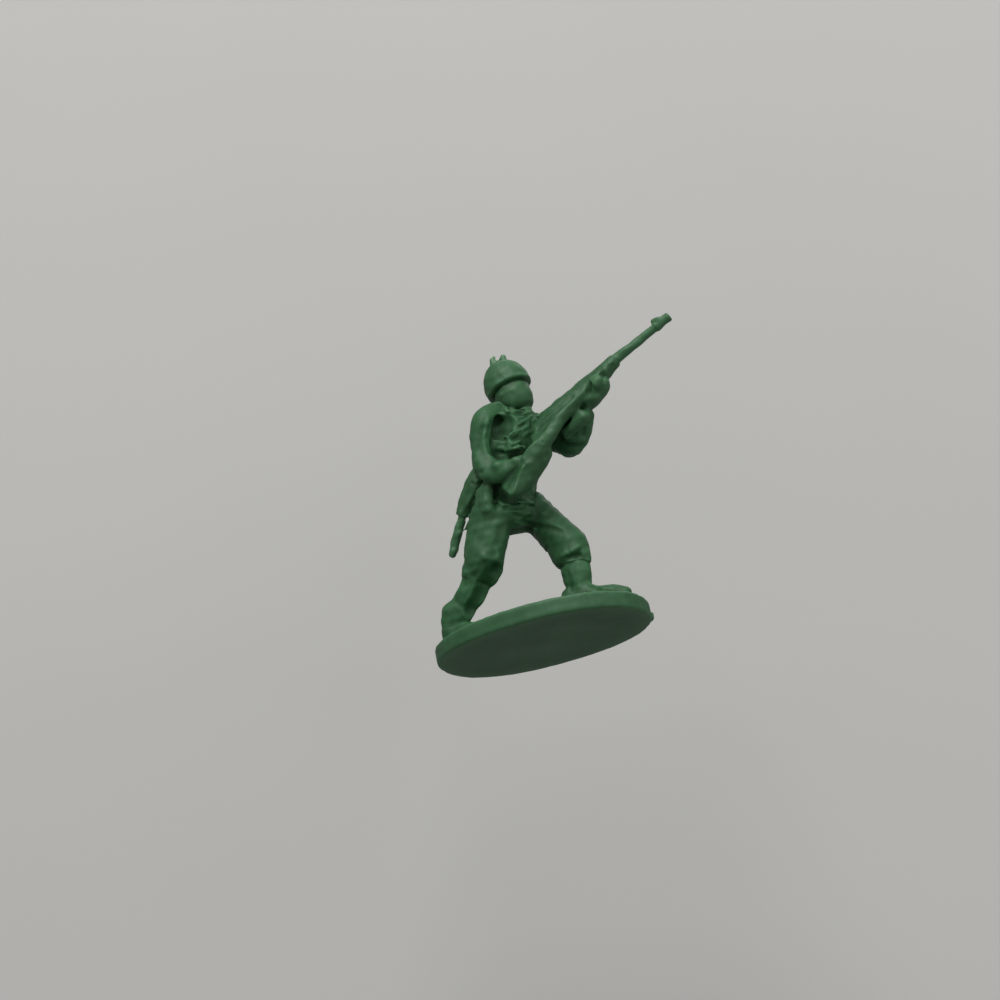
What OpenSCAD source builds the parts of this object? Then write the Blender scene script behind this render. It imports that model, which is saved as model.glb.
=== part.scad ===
// Small moulded toy soldier: a rifleman stepping forward on a thick oval base.
// X is the way the figure walks, Y is to its left, Z is up, and the origin is the
// middle of the underside of the base. Depth is front to back and width is side to side.

/* [Base] */
// Length of the oval base, along the walk
base_length = 17.6; // [17:0.1:19]
// Width of the oval base
base_width = 13.7; // [13:0.1:15.5]
// Thickness of the base
base_thickness = 1.4; // [1.2:0.05:1.6]
// Radius round the edges of the base
base_edge = 0.2; // [0.1:0.05:0.45]
// How square the oval is, where 2 is an ellipse
base_squareness = 2.2; // [2:0.1:3.5]
// Height of the rise of ground under the leading boot
ground_rise = 0.5; // [0.35:0.05:0.7]

/* [Stance] */
// Height of the stooping figure, from the top of the base to the top of the helmet
figure_height = 23.1; // [22.5:0.1:24]
// How far the figure stands behind the middle of the base
stance_back = 0.1; // [0:0.01:0.6]
// How far the chest turns to the right
body_turn = 27; // [20:1:34]
// How far the head tips back
head_tip = 17; // [8:1:22]
// How far the head turns to the right
head_turn = 8; // [0:1:16]
// How far the rear boot points outwards
rear_boot_turn = 18; // [5:1:30]

/* [Legs] */
// Depth of a trouser leg at the thigh
thigh_depth = 3.6; // [3.3:0.1:3.8]
// Width of a trouser leg at the thigh
thigh_width = 3; // [2.8:0.1:3.2]
// Depth of a trouser leg at the knee
knee_depth = 3.4; // [3.1:0.1:3.6]
// How far the rear shin bows forward
shin_bow = 0.6; // [0.3:0.05:0.8]
// Depth of a gaiter at the calf
gaiter_depth = 2.3; // [2:0.1:2.5]
// Length of a boot
boot_length = 5.4; // [5:0.1:5.7]
// Width of a boot across the sole
boot_width = 2; // [1.8:0.1:2.2]
// Height of a boot at the instep
boot_height = 2.3; // [2.1:0.1:2.5]

/* [Body] */
// Width of the jacket at the chest, without the arms
chest_width = 5; // [4.7:0.1:5.3]
// Depth of the jacket at the chest
chest_depth = 3.5; // [3.2:0.1:3.7]
// Width of the jacket at the waist
waist_width = 4.4; // [4.1:0.1:4.7]
// Depth of the jacket at the waist
waist_depth = 3; // [2.8:0.1:3.3]
// Width of the trouser seat
seat_width = 4.8; // [4.5:0.1:5.1]
// Depth of the trouser seat
seat_depth = 4; // [3.7:0.1:4.3]
// Height of the belt
belt_height = 0.65; // [0.5:0.05:0.8]
// How far the belt stands out from the jacket
belt_proud = 0.2; // [0.14:0.02:0.28]

/* [Arms] */
// Thickness of a sleeve at the shoulder
shoulder_thickness = 2.4; // [2.2:0.1:2.6]
// Thickness of a sleeve at the upper arm
arm_thickness = 1.95; // [1.8:0.05:2.1]
// Thickness of a sleeve at the wrist
cuff_thickness = 1.55; // [1.4:0.05:1.7]
// Length of a closed hand
hand_length = 2; // [1.8:0.05:2.2]
// Thickness of a closed hand
hand_thickness = 1.6; // [1.45:0.05:1.75]

/* [Head] */
// Width of the head at the cheeks
head_width = 3.1; // [2.9:0.05:3.3]
// Height of the head from chin to crown
head_height = 3.5; // [3.3:0.05:3.7]
// Width of the helmet at its rim
helmet_width = 4; // [3.8:0.05:4.2]
// Length of the helmet from front to back
helmet_length = 4.2; // [4.05:0.05:4.4]
// Width of the neck
neck_width = 2.4; // [2.2:0.05:2.6]
// Height of the flash left on the helmet by the mould
flash_height = 0.6; // [0.4:0.05:0.75]

/* [Rifle] */
// Length of the barrel from the stock to the middle of the gas cylinder
barrel_length = 5.3; // [4.9:0.1:5.7]
// Diameter of the barrel where it leaves the stock
barrel_root = 0.85; // [0.7:0.05:0.95]
// Diameter of the barrel at the muzzle
barrel_tip = 0.6; // [0.5:0.05:0.7]
// Length of the stock from its butt to its front band
stock_length = 13.7; // [13.2:0.1:14.2]
// Height of the butt plate
butt_height = 2; // [1.8:0.05:2.2]
// Thickness of the stock at the butt
butt_thickness = 1.7; // [1.5:0.05:1.9]
// How far the rifle points up
rifle_pitch = 25; // [23:1:27]
// How far the rifle points to the left
rifle_yaw = 8; // [6:1:10]
// How far the lower edge of the rifle leans to the right
rifle_roll = 20; // [12:1:26]
// How far the stock's section is turned beyond the lean of the rifle
stock_turn = 18; // [10:1:24]

/* [Kit] */
// Diameter of the canteen on the right hip
canteen_diameter = 1.1; // [1:0.05:1.3]
// Height of the canteen
canteen_height = 2.6; // [2.3:0.1:2.9]
// How far the canteen leans forward
canteen_lean = 10; // [4:1:16]
// Width of the entrenching tool's cover
tool_width = 1.6; // [1.4:0.05:1.8]
// Thickness of the entrenching tool's cover
tool_thickness = 1.1; // [0.9:0.05:1.3]
// Diameter of the entrenching tool's handle
handle_diameter = 0.8; // [0.7:0.05:0.9]
// Width of a webbing strap
strap_width = 0.75; // [0.6:0.05:0.9]
// How far a strap stands out from the jacket
strap_proud = 0.14; // [0.1:0.02:0.2]
// Height of a chest pouch
pouch_height = 1.2; // [1:0.05:1.4]

/* [Hidden] */

plastic = "darkgreen";
$fn = 32;

// Corners round a form, and steps from one of its stations to the next
form_corners = 16;
form_steps = 2;
base_corners = 48;
edge_steps = 3;

// Places on the figure as shares of its height: forward, to the left, and up from the base
hip_right_share = [-0.072, -0.070, 0.420];
knee_right_share = [-0.124, -0.082, 0.282];
ankle_right_share = [-0.264, -0.062, 0.112];
hip_left_share = [0.033, 0.062, 0.444];
knee_left_share = [0.139, 0.052, 0.270];
ankle_left_share = [0.153, 0.045, 0.110];
crotch_share = [-0.022, -0.003, 0.362];
waist_share = [-0.021, -0.010, 0.455];
chest_share = [0.052, -0.008, 0.655];
collar_share = [0.074, -0.006, 0.782];
shoulder_right_share = [-0.010, -0.113, 0.752];
elbow_right_share = [-0.051, -0.144, 0.552];
wrist_right_share = [0.048, -0.142, 0.540];
shoulder_left_share = [0.100, 0.092, 0.745];
elbow_left_share = [0.248, 0.030, 0.589];
wrist_left_share = [0.328, -0.010, 0.715];
rifle_share = [0.159, -0.056, 0.7225];
tool_top_share = [-0.082, -0.066, 0.600];
tool_foot_share = [-0.188, -0.052, 0.460];
handle_foot_share = [-0.257, -0.043, 0.328];
canteen_share = [-0.064, -0.132, 0.412];
// The middle of the head from the collar, as shares of the head's height
head_rise_share = [-0.013, -0.013, 0.469];

function place(share) = share * figure_height + [-stance_back, 0, base_thickness];
function mix(a, b, t) = a + (b - a) * t;
function unit(v) = v / norm(v);
function level(turn) = [cos(turn), sin(turn), 0];

hip_right = place(hip_right_share);
knee_right = place(knee_right_share);
ankle_right = place(ankle_right_share);
hip_left = place(hip_left_share);
knee_left = place(knee_left_share);
ankle_left = place(ankle_left_share);
crotch = place(crotch_share);
waist = place(waist_share);
chest = place(chest_share);
collar = place(collar_share);
shoulder_right = place(shoulder_right_share);
elbow_right = place(elbow_right_share);
wrist_right = place(wrist_right_share);
shoulder_left = place(shoulder_left_share);
elbow_left = place(elbow_left_share);
wrist_left = place(wrist_left_share);
head_centre = collar + head_height * head_rise_share;
rifle_start = place(rifle_share);
tool_top = place(tool_top_share);
tool_foot = place(tool_foot_share);
handle_foot = place(handle_foot_share);
canteen_foot = place(canteen_share);

to_left = level(90);
chest_left = level(90 - body_turn);
seat_left = level(90 - body_turn / 2);

// A station of a form is its centre, half its depth and half its width
function station(p, depth, width) = [p.x, p.y, p.z, depth / 2, width / 2];
function centre(s) = [s[0], s[1], s[2]];

// The station a share t of the way from b to c, on a smooth run through a, b, c and d
function between(a, b, c, d, t) =
  (2 * b + (c - a) * t + (2 * a - 5 * b + 4 * c - d) * t * t
    + (3 * b - a - 3 * c + d) * t * t * t) / 2;

function smooth(s) = let(last = len(s) - 1) [
  for (i = [0:last - 1], k = [0:form_steps - 1])
    between(s[max(i - 1, 0)], s[i], s[i + 1], s[min(i + 2, last)], k / form_steps),
  s[last]
];

function rounded(x, squareness) = sign(x) * pow(abs(x), 2 / squareness);

// A ring of corners in the plane of the directions front and left
function ring(middle, front, left, half_depth, half_width, squareness) = [
  for (j = [0:form_corners - 1])
    let(turn = 360 * j / form_corners)
    middle + front * half_depth * rounded(cos(turn), squareness)
      + left * half_width * rounded(sin(turn), squareness)
];

// One ring per station, square to the run of the form
function rings(s, left, squareness) = let(last = len(s) - 1) [
  for (i = [0:last])
    let(
      along = unit(centre(s[min(i + 1, last)]) - centre(s[max(i - 1, 0)])),
      front = unit(cross(left, along))
    )
    ring(centre(s[i]), front, cross(along, front), s[i][3], s[i][4], squareness)
];

// A closed solid through a list of rings
module skin(ring_list) {
  corners = len(ring_list[0]);
  last = len(ring_list) - 1;
  walls = [
    for (i = [0:last - 1], j = [0:corners - 1])
      let(a = i * corners + j, b = i * corners + (j + 1) % corners)
      each [[a, a + corners, b + corners], [a, b + corners, b]]
  ];
  first_end = [for (j = [0:corners - 1]) j];
  last_end = [for (j = [corners - 1:-1:0]) last * corners + j];
  polyhedron([for (r = ring_list) each r], concat([first_end], walls, [last_end]), convexity = 4);
}

module form(stations, left = to_left, squareness = 2) {
  skin(rings(smooth(stations), left, squareness));
}

// Base

function oval(length, width, z) = [
  for (j = [0:base_corners - 1])
    let(turn = 360 * j / base_corners)
    [length / 2 * rounded(cos(turn), base_squareness),
     width / 2 * rounded(sin(turn), base_squareness), z]
];

function edge_oval(z, turn) = let(inset = 2 * base_edge * (1 - sin(turn)))
  oval(base_length - inset, base_width - inset, z);

// The rise of ground is a low oval with a flat top, a little larger than the boot
rise_length = 6;
rise_width = 3.4;
rise_slope = 0.5;

// Stub of plastic left on the rim, towards the front, where the figure was cut from its runner
gate_turn = 30;
gate_length = 0.4;
gate_width = 0.9;
gate_height = 0.6;

module base_slab() {
  lower = [for (k = [0:edge_steps]) let(turn = 90 * k / edge_steps)
    edge_oval(base_edge * (1 - cos(turn)), turn)];
  upper = [for (k = [edge_steps:-1:0]) let(turn = 90 * k / edge_steps)
    edge_oval(base_thickness - base_edge * (1 - cos(turn)), turn)];
  skin(concat(lower, upper));
}

module rise_of_ground() {
  middle = boot_middle(ankle_left, 0);
  skin([for (step = [-1, 0, 1])
    [for (corner = oval(rise_length - rise_slope * step, rise_width - rise_slope * step,
        base_thickness + ground_rise * step))
      corner + [middle.x, middle.y, 0]]]);
}

module gate_stub() {
  translate([base_length / 2 * rounded(cos(gate_turn), base_squareness),
      base_width / 2 * rounded(sin(gate_turn), base_squareness), (base_thickness - gate_height) / 2])
    rotate([0, 0, gate_turn]) translate([-gate_length, -gate_width / 2, 0])
    cube([2 * gate_length, gate_width, gate_height]);
}

module base() {
  color(plastic) union() {
    base_slab();
    rise_of_ground();
    gate_stub();
  }
}

// Boots

// How much of the boot lies behind the ankle, and how low the flexed rear boot is
heel_share = 0.3;
rear_boot_share = 0.82;
// Along the boot, and its width and height there
boot_shares = [
  [0, 0.55, 0.8], [0.04, 0.84, 0.95], [0.2, 0.95, 1], [0.42, 0.9, 0.95],
  [0.62, 1, 0.72], [0.85, 0.98, 0.62], [0.96, 0.7, 0.45], [1, 0.4, 0.28]
];

function boot_middle(ankle, turn) = ankle + level(turn) * boot_length * (0.5 - heel_share);

// The rings run past the sole and are pressed flat against the ground there
module boot_form(ankle, turn, ground, fullness) {
  front = level(turn);
  left = level(turn + 90);
  heel = [ankle.x, ankle.y, ground] - front * boot_length * heel_share;
  skin([for (share = boot_shares)
    let(
      height = boot_height * share[2] * fullness,
      middle = heel + front * boot_length * share[0] + [0, 0, height * 0.4],
      corners = ring(middle, left, [0, 0, 1], boot_width * share[1] / 2, height * 0.6, 2.6)
    )
    [for (c = corners) [c.x, c.y, max(c.z, ground)]]]);
}

module boot_right_form() boot_form(ankle_right, -rear_boot_turn, base_thickness, rear_boot_share);
module boot_left_form() boot_form(ankle_left, 0, base_thickness + ground_rise, 1);

module boot_right() {
  color(plastic) boot_right_form();
}

module boot_left() {
  color(plastic) boot_left_form();
}

// Legs

// Along the shin from the knee, where the trousers end and the gaiter is fullest
cuff_share = 0.42;
calf_share = 0.62;
// The thigh raised in front is slimmer
front_thigh_share = 0.83;

function shin(knee, ankle, bow, share) = mix(knee, ankle, share) + [bow, 0, 0];

module leg_form(hip, knee, ankle, bow, fullness) form([
  station(mix(hip, knee, -0.2), thigh_depth * fullness, thigh_width),
  station(mix(hip, knee, 0.45), thigh_depth * fullness, thigh_width),
  station(knee, knee_depth, knee_depth * 0.88),
  station(shin(knee, ankle, bow, cuff_share * 0.65), knee_depth * 0.94, knee_depth * 0.86),
  station(shin(knee, ankle, bow, cuff_share * 1.1), gaiter_depth * 1.05, gaiter_depth * 0.97)
]);

module gaiter_form(knee, ankle, bow) form([
  station(shin(knee, ankle, bow, cuff_share * 0.7), gaiter_depth * 0.9, gaiter_depth * 0.85),
  station(shin(knee, ankle, bow, calf_share), gaiter_depth, gaiter_depth * 0.92),
  station(ankle, gaiter_depth, gaiter_depth * 0.78),
  station(ankle - [0, 0, boot_height * 0.5], gaiter_depth * 0.8, gaiter_depth * 0.6)
]);

module leg_right_form() leg_form(hip_right, knee_right, ankle_right, shin_bow, 1);
module leg_left_form() leg_form(hip_left, knee_left, ankle_left, 0, front_thigh_share);

module gaiter_right() {
  color(plastic) difference() {
    gaiter_form(knee_right, ankle_right, shin_bow);
    leg_right_form();
    boot_right_form();
  }
}

module gaiter_left() {
  color(plastic) difference() {
    gaiter_form(knee_left, ankle_left, 0);
    leg_left_form();
    boot_left_form();
  }
}

module seat_form() form([
  station(crotch, seat_depth * 0.6, seat_width * 0.5),
  station(mix(crotch, waist, 0.3), seat_depth * 0.92, seat_width * 0.92),
  station(mix(crotch, waist, 0.7), seat_depth, seat_width),
  station(waist, waist_depth * 1.04, waist_width * 1.04)
], seat_left, 2.3);

module trousers() {
  color(plastic) difference() {
    union() {
      seat_form();
      leg_right_form();
      leg_left_form();
    }
    jacket_form();
  }
}

// Jacket and webbing

// How far the stoop draws the belly back
belly_tuck = 0.3;

module jacket_form(proud = 0) form([
  station(mix(crotch, waist, 0.8), waist_depth * 1.05 + 2 * proud, waist_width * 1.05 + 2 * proud),
  station(mix(waist, chest, 0.12), waist_depth + 2 * proud, waist_width + 2 * proud),
  station(mix(waist, chest, 0.5) - [belly_tuck, 0, 0], waist_depth * 0.92 + 2 * proud,
    mix(waist_width, chest_width, 0.35) + 2 * proud),
  station(chest, chest_depth + 2 * proud, chest_width + 2 * proud),
  station(mix(chest, collar, 0.68), chest_depth * 0.9 + 2 * proud, chest_width * 1.1 + 2 * proud),
  station(collar + [0, 0, proud], chest_depth * 0.66 + 2 * proud, chest_width * 0.66 + 2 * proud)
], chest_left, 2.4);

module belt_form() {
  middle = mix(waist, chest, 0.01);
  up = [0, 0, belt_height / 2];
  form([
    station(middle - up, waist_depth + 2 * belt_proud, waist_width + 2 * belt_proud),
    station(middle + up, waist_depth + 2 * belt_proud, waist_width + 2 * belt_proud)
  ], chest_left, 2.4);
}

module jacket() {
  color(plastic) jacket_form();
}

module belt() {
  color(plastic) difference() {
    belt_form();
    jacket_form();
    seat_form();
    leg_right_form();
    leg_left_form();
  }
}

// Places on the front of the jacket: how far to the right of the middle, and how far up from
// the waist to the collar
strap_side_share = 0.33;
pouch_shares = [[0.25, 0.485], [-0.13, 0.485]];
pouch_width = 1.5;
pouch_proud = 0.6;

module on_chest(side, up) {
  translate(mix(waist, collar, up) - chest_left * side) rotate([0, 0, -body_turn]) children();
}

module strap(side) {
  difference() {
    intersection() {
      jacket_form(strap_proud);
      form([
        station(mix(waist, chest, 0.06) - chest_left * side, 3 * chest_depth, strap_width),
        station(collar + [0, 0, 2 * strap_proud] - chest_left * side, 3 * chest_depth, strap_width)
      ], chest_left, 12);
    }
    jacket_form();
    belt_form();
    leg_left_form();
    children();
  }
}

module strap_right() {
  color(plastic) strap(chest_width * strap_side_share) {
    sleeve_right_form();
    tool_cover_form();
  }
}

module strap_left() {
  color(plastic) strap(-chest_width * strap_side_share) sleeve_left_form();
}

module pouch(share) {
  on_chest(chest_width * share[0], share[1])
    translate([0, -pouch_width / 2, 0])
    cube([chest_depth / 2 + pouch_proud, pouch_width, pouch_height]);
}

module chest_pouches() {
  color(plastic) difference() {
    for (share = pouch_shares) pouch(share);
    jacket_form(strap_proud);
    sleeve_right_form();
    hand_form(wrist_right, right_grip);
    stock_form();
  }
}

// Head

head_up = unit([-sin(head_tip) * cos(head_turn), sin(head_tip) * sin(head_turn), cos(head_tip)]);
head_left = level(90 - head_turn);
rim_share = 0.17;
helmet_height = figure_height + base_thickness - head_centre.z - head_height * rim_share;

// Up the head from its centre, its depth and its width, as shares
head_shares = [
  [-0.5, 0.35, 0.4], [-0.44, 0.68, 0.68], [-0.28, 0.93, 0.9], [0, 1.02, 1],
  [0.2, 1, 0.98], [0.42, 0.7, 0.7]
];
// Up the helmet from its rim, its length and its width, as shares
helmet_shares = [
  [0, 1, 1], [0.1, 0.95, 0.95], [0.3, 0.94, 0.95], [0.55, 0.85, 0.87], [0.78, 0.64, 0.66],
  [0.94, 0.34, 0.36], [1, 0.12, 0.12]
];

module head_form() form([for (share = head_shares)
  station(head_centre + head_up * head_height * share[0], head_width * share[1], head_width * share[2])
], head_left);

module helmet_form() form([for (share = helmet_shares)
  station(head_centre + head_up * (head_height * rim_share + helmet_height * share[0]),
    helmet_length * share[1], helmet_width * share[2])
], head_left);

module neck_form() form([
  station(mix(chest, collar, 0.5), neck_width, neck_width),
  station(collar, neck_width * 1.1, neck_width),
  station(head_centre, neck_width, neck_width)
]);

module neck() {
  color(plastic) difference() {
    neck_form();
    jacket_form();
    head_form();
    helmet_form();
  }
}

module head() {
  color(plastic) difference() {
    head_form();
    helmet_form();
    jacket_form();
  }
}

module helmet() {
  color(plastic) helmet_form();
}

// Along the helmet from its middle, to the left, and the lean of each sliver of flash
flash_shares = [[-0.07, 0], [0.17, 0.02]];
flash_root = 0.7;
flash_tip = 0.35;

module moulding_flash() {
  crown = head_centre + head_up * (head_height * rim_share + helmet_height);
  color(plastic) difference() {
    for (share = flash_shares)
      translate(crown + [helmet_length * share[0], helmet_width * share[1], -flash_height])
        cylinder(h = 2 * flash_height, d1 = flash_root, d2 = flash_tip);
    helmet_form();
  }
}

// Arms

// How far the top of each sleeve leans in towards the collar, and how that lifts it
right_cap_lean = 0.46;
left_cap_lean = 0.2;
cap_rise = 0.65;

function shoulder_cap(shoulder, lean) =
  mix(shoulder, collar, lean) + [0, 0, shoulder_thickness * cap_rise * lean];

module sleeve_form(shoulder, elbow, wrist, lean) form([
  station(shoulder_cap(shoulder, lean), shoulder_thickness * 0.6, shoulder_thickness * 0.72),
  station(shoulder, shoulder_thickness * 0.92, shoulder_thickness * 0.95),
  station(mix(shoulder, elbow, 0.2), shoulder_thickness, shoulder_thickness * 0.95),
  station(mix(shoulder, elbow, 0.62), arm_thickness, arm_thickness * 0.95),
  station(mix(elbow, mix(shoulder, wrist, 0.5), 0.22), arm_thickness * 1.08, arm_thickness),
  station(mix(elbow, wrist, 0.52), arm_thickness * 0.94, mix(arm_thickness, cuff_thickness, 0.5)),
  station(wrist, cuff_thickness, cuff_thickness)
]);

rifle_matrix = [
  [cos(rifle_yaw) * cos(rifle_pitch), -sin(rifle_yaw), -cos(rifle_yaw) * sin(rifle_pitch)],
  [sin(rifle_yaw) * cos(rifle_pitch), cos(rifle_yaw), -sin(rifle_yaw) * sin(rifle_pitch)],
  [sin(rifle_pitch), 0, cos(rifle_pitch)]
];
// A place on the rifle: forward from the rear of the receiver, and down from the top of the stock
function on_stock(forward, down) = rifle_start
  + rifle_matrix * [forward, -sin(rifle_roll) * down, -cos(rifle_roll) * down];

forestock = 0.575 * stock_length;
// How far behind the rear of the receiver the right hand holds the stock
right_grip_back = 3.1;
left_grip = on_stock(0.41 * stock_length, butt_height * 0.68);
right_grip = on_stock(-right_grip_back, butt_height * 1.75);

module sleeve_right_form() sleeve_form(shoulder_right, elbow_right, wrist_right, right_cap_lean);

// Cloth that hangs slack across the bend of the left elbow, on the rifle's side
web_height = 2.4;
web_thickness = 1.4;
web_lean = [0, -0.8, -0.2];

module sleeve_left_form() {
  upper = mix(shoulder_left, elbow_left, 0.35) + web_lean;
  lower = mix(elbow_left, wrist_left, 0.9) + web_lean;
  union() {
    sleeve_form(shoulder_left, elbow_left, wrist_left, left_cap_lean);
    form([
      station(upper, web_height * 0.6, web_thickness * 0.8),
      station(mix(upper, lower, 0.5), web_height, web_thickness),
      station(lower, web_height * 0.5, web_thickness * 0.7)
    ]);
  }
}

module sleeve_right() {
  color(plastic) difference() {
    sleeve_right_form();
    jacket_form();
    stock_form();
  }
}

module sleeve_left() {
  color(plastic) difference() {
    sleeve_left_form();
    jacket_form();
    stock_form();
  }
}

module hand_form(wrist, grip) {
  reach = unit(grip - wrist);
  form([
    station(wrist, cuff_thickness * 0.7, cuff_thickness * 0.7),
    station(mix(wrist, grip, 0.4), hand_thickness, hand_thickness * 1.1),
    station(grip, hand_length, hand_thickness * 1.3),
    station(grip + reach * hand_thickness * 0.45, hand_length * 0.6, hand_thickness * 0.8)
  ]);
}

module hand_right() {
  color(plastic) difference() {
    hand_form(wrist_right, right_grip);
    stock_form();
    sleeve_right_form();
    jacket_form();
  }
}

module hand_left() {
  color(plastic) difference() {
    hand_form(wrist_left, left_grip);
    stock_form();
    sleeve_left_form();
    handguard_form();
    barrel_form();
  }
}

// Rifle

module on_rifle() {
  translate(rifle_start) rotate([-rifle_roll, -rifle_pitch, rifle_yaw]) children();
}

barrel_sink = barrel_root / 2;
// Along the stock from the rear of the receiver, then its middle, height, thickness and
// shift to the left: lengths follow the stock's length, drops and heights the butt's height
stock_shares = [
  [-0.412, -2.42, 0.92, 0.42, -0.24], [-0.385, -2.38, 1.08, 0.64, -0.15],
  [-0.3, -2.2, 1.14, 1, 0], [-0.19, -2.1, 0.8, 1.2, -0.2], [-0.09, -1.9, 0.55, 1.2, -0.31],
  [-0.03, -1.2, 1.3, 0.62, -0.16], [0.05, -0.77, 1.48, 0.7, -0.1], [0.15, -0.61, 1.2, 0.76, -0.06],
  [0.33, -0.48, 0.92, 0.8, 0], [0.47, -0.36, 0.64, 0.74, 0], [0.575, -0.24, 0.4, 0.66, 0]
];
stock_left = [0, cos(stock_turn), -sin(stock_turn)];

module stock_form() on_rifle() form([for (share = stock_shares)
  station([stock_length * share[0], 0, butt_height * share[1]]
      + stock_left * butt_thickness * share[4],
    butt_height * share[2], butt_thickness * share[3])
], stock_left, 3);

module handguard_form() on_rifle() intersection() {
  translate([0, 0, -barrel_sink]) rotate([0, 90, 0]) cylinder(h = forestock, d = barrel_root * 1.1);
  translate([0, -barrel_root, -barrel_sink]) cube([forestock, 2 * barrel_root, 2 * barrel_root]);
}

module barrel_form() on_rifle() translate([forestock, 0, -barrel_sink])
  rotate([0, 90, 0]) cylinder(h = barrel_length, d1 = barrel_root, d2 = barrel_tip);

module rifle_stock() {
  color(plastic) stock_form();
}

module rifle_handguard() {
  color(plastic) difference() {
    handguard_form();
    stock_form();
  }
}

module rifle_barrel() {
  color(plastic) difference() {
    barrel_form();
    stock_form();
  }
}

gas_length = 1.5;
gas_wall = 0.1;
sight_height = 0.35;
sight_length = 0.6;
sight_thickness = 0.35;
muzzle_nose = 0.3;
muzzle = [forestock + barrel_length + muzzle_nose, 0, -barrel_sink];

module gas_cylinder_form() on_rifle() translate(muzzle) rotate([0, -90, 0]) union() {
  cylinder(h = gas_wall, d1 = barrel_tip + gas_wall, d2 = barrel_tip + 2 * gas_wall);
  translate([0, 0, gas_wall]) cylinder(h = gas_length - gas_wall, d = barrel_tip + 2 * gas_wall);
}

module rifle_gas_cylinder() {
  color(plastic) difference() {
    gas_cylinder_form();
    barrel_form();
  }
}

module front_sight() {
  color(plastic) difference() {
    on_rifle() translate(muzzle - [gas_length - gas_wall, sight_thickness / 2, 0])
      cube([sight_length, sight_thickness, barrel_tip / 2 + gas_wall + sight_height]);
    gas_cylinder_form();
    barrel_form();
  }
}

// Kit

// Up the canteen, and its diameter there, as shares
canteen_shares = [[0, 0.6], [0.14, 0.95], [0.5, 1], [0.8, 0.92], [1, 0.5]];

module canteen_form() form([for (share = canteen_shares)
  station(canteen_foot + [sin(canteen_lean), 0, cos(canteen_lean)] * canteen_height * share[0],
    canteen_diameter * share[1], canteen_diameter * share[1])
]);

module tool_cover_form() form([
  station(tool_top, tool_width * 0.7, tool_thickness * 0.7),
  station(mix(tool_top, tool_foot, 0.2), tool_width, tool_thickness),
  station(mix(tool_top, tool_foot, 0.75), tool_width * 0.95, tool_thickness),
  station(tool_foot, tool_width * 0.6, tool_thickness * 0.85)
], to_left, 2.8);

module handle_form() form([
  station(mix(tool_top, tool_foot, 0.8), handle_diameter, handle_diameter),
  station(mix(tool_foot, handle_foot, 0.3), handle_diameter * 0.95, handle_diameter),
  station(mix(tool_foot, handle_foot, 0.75), handle_diameter, handle_diameter),
  station(handle_foot, handle_diameter * 0.7, handle_diameter * 0.7)
]);

module canteen() {
  color(plastic) difference() {
    canteen_form();
    jacket_form();
    belt_form();
    seat_form();
    leg_right_form();
    sleeve_right_form();
  }
}

module tool_cover() {
  color(plastic) difference() {
    tool_cover_form();
    jacket_form();
    belt_form();
    seat_form();
    leg_right_form();
  }
}

module tool_handle() {
  color(plastic) difference() {
    handle_form();
    tool_cover_form();
    leg_right_form();
  }
}

base();
boot_right();
boot_left();
gaiter_right();
gaiter_left();
trousers();
jacket();
belt();
strap_right();
strap_left();
chest_pouches();
neck();
head();
helmet();
moulding_flash();
sleeve_right();
hand_right();
sleeve_left();
hand_left();
rifle_stock();
rifle_handguard();
rifle_barrel();
rifle_gas_cylinder();
front_sight();
canteen();
tool_cover();
tool_handle();
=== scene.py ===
# %% [markdown]
# # A small moulded soldier in green plastic
# The real thing is about 25 mm tall: one shot of soft green polyethylene on
# an oval base, with every fold, strap and pouch cut into the steel mould by hand.
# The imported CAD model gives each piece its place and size. This lesson takes
# those solids as an armature and dresses them in "clay", a distance field on a
# fine lattice, because only there do pieces flow into each other in soft
# valleys, as they do in a mould, and can folds be pressed in like thumb marks.

import math

import bpy
import numpy as np
import openvdb
from mathutils import Matrix, Vector
from mathutils.bvhtree import BVHTree


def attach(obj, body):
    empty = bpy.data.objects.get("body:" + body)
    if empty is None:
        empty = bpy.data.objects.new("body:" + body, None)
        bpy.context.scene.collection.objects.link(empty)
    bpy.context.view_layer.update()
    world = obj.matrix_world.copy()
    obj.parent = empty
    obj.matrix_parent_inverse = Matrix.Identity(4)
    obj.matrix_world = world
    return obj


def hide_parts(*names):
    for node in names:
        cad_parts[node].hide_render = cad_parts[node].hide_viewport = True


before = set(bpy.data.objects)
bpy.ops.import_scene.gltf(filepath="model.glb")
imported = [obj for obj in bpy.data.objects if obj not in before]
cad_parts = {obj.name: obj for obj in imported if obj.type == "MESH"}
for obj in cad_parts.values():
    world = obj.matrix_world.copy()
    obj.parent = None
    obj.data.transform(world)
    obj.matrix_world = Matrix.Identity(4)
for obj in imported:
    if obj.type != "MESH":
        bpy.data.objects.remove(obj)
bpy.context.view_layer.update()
MM = 0.001
print("solids:", len(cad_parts))

# %% [markdown]
# ## The camera
# The photograph looks at the figure's right side, a little from the front and
# from below, so the underside of the base shows, and the frame is rolled. The
# camera comes first, because the marks in the clay are placed where it sees them.
# Its place comes from three angles, its distance from the base in millimetres,
# and the pixel where the picture shows the base's centre. The focal length is in
# pixels, and so is every place in the picture, from its top left corner.

# %% Camera
PICTURE = 1000
MIDDLE = PICTURE / 2
FOCAL = 2268
DISTANCE = 180
BASE_X, BASE_Y = 544.9, 643.8
yaw, below, roll = math.radians(20), math.radians(16.4), math.radians(11.2)
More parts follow.
